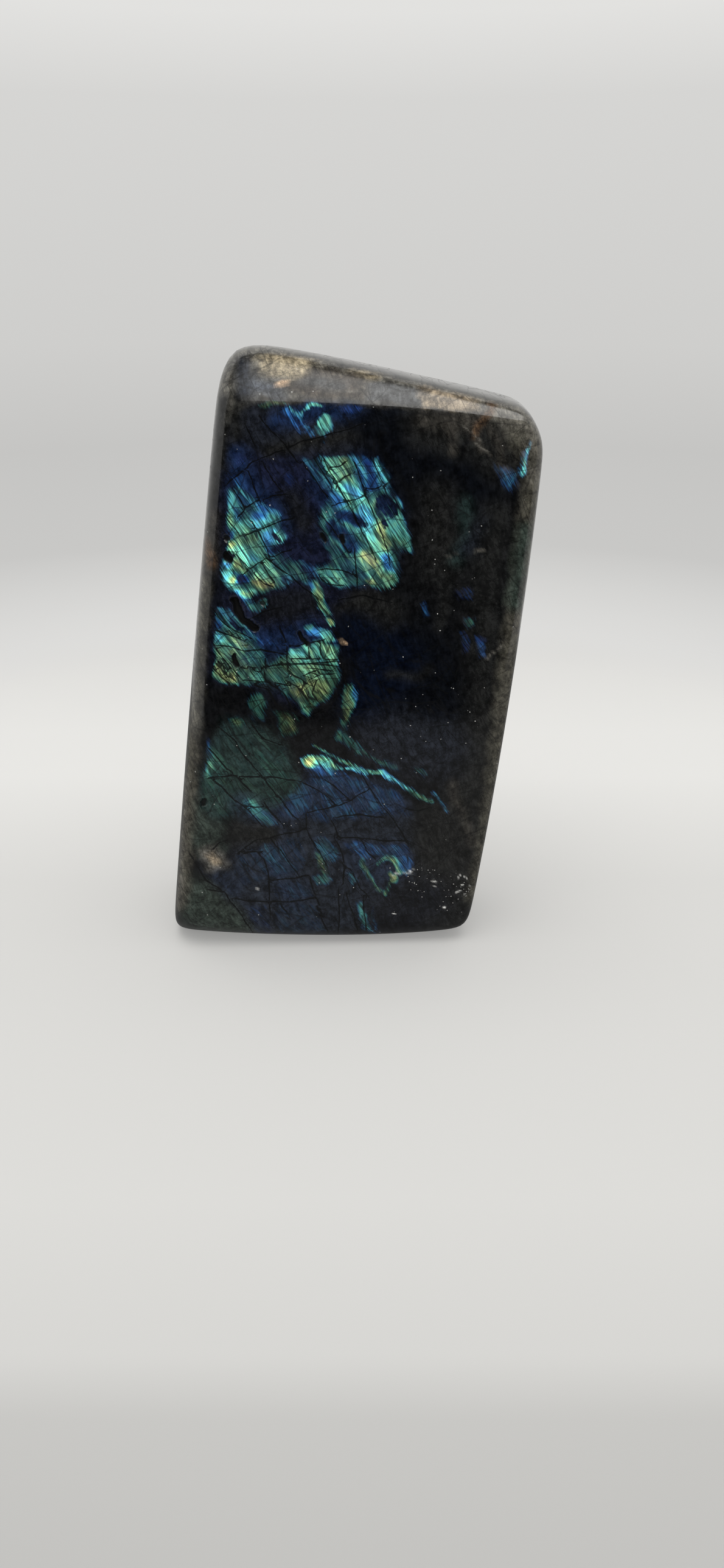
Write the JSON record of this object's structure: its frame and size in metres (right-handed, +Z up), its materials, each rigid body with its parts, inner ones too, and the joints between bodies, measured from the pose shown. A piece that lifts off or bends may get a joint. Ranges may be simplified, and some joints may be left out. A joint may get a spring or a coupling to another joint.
{
  "type": "labradorite freeform",
  "caption": "Polished freeform of labradorite: a leaning dark slab with rounded edges, a flat foot to stand on, and a face that shows flashes of blue and green.",
  "frame": {"origin": "middle of the stone's box, on the surface that its foot stands on", "axes": "+Z up, the face with the colour play looks along -Y, +X is to the right of that face"},
  "size_m": [0.111, 0.0496, 0.1801],
  "materials": {
    "stone": "polished dark feldspar with blue and green flashes in its front face"
  },
  "bodies": {
    "root": {"polished_stone": "stone"}
  },
  "joints": []
}
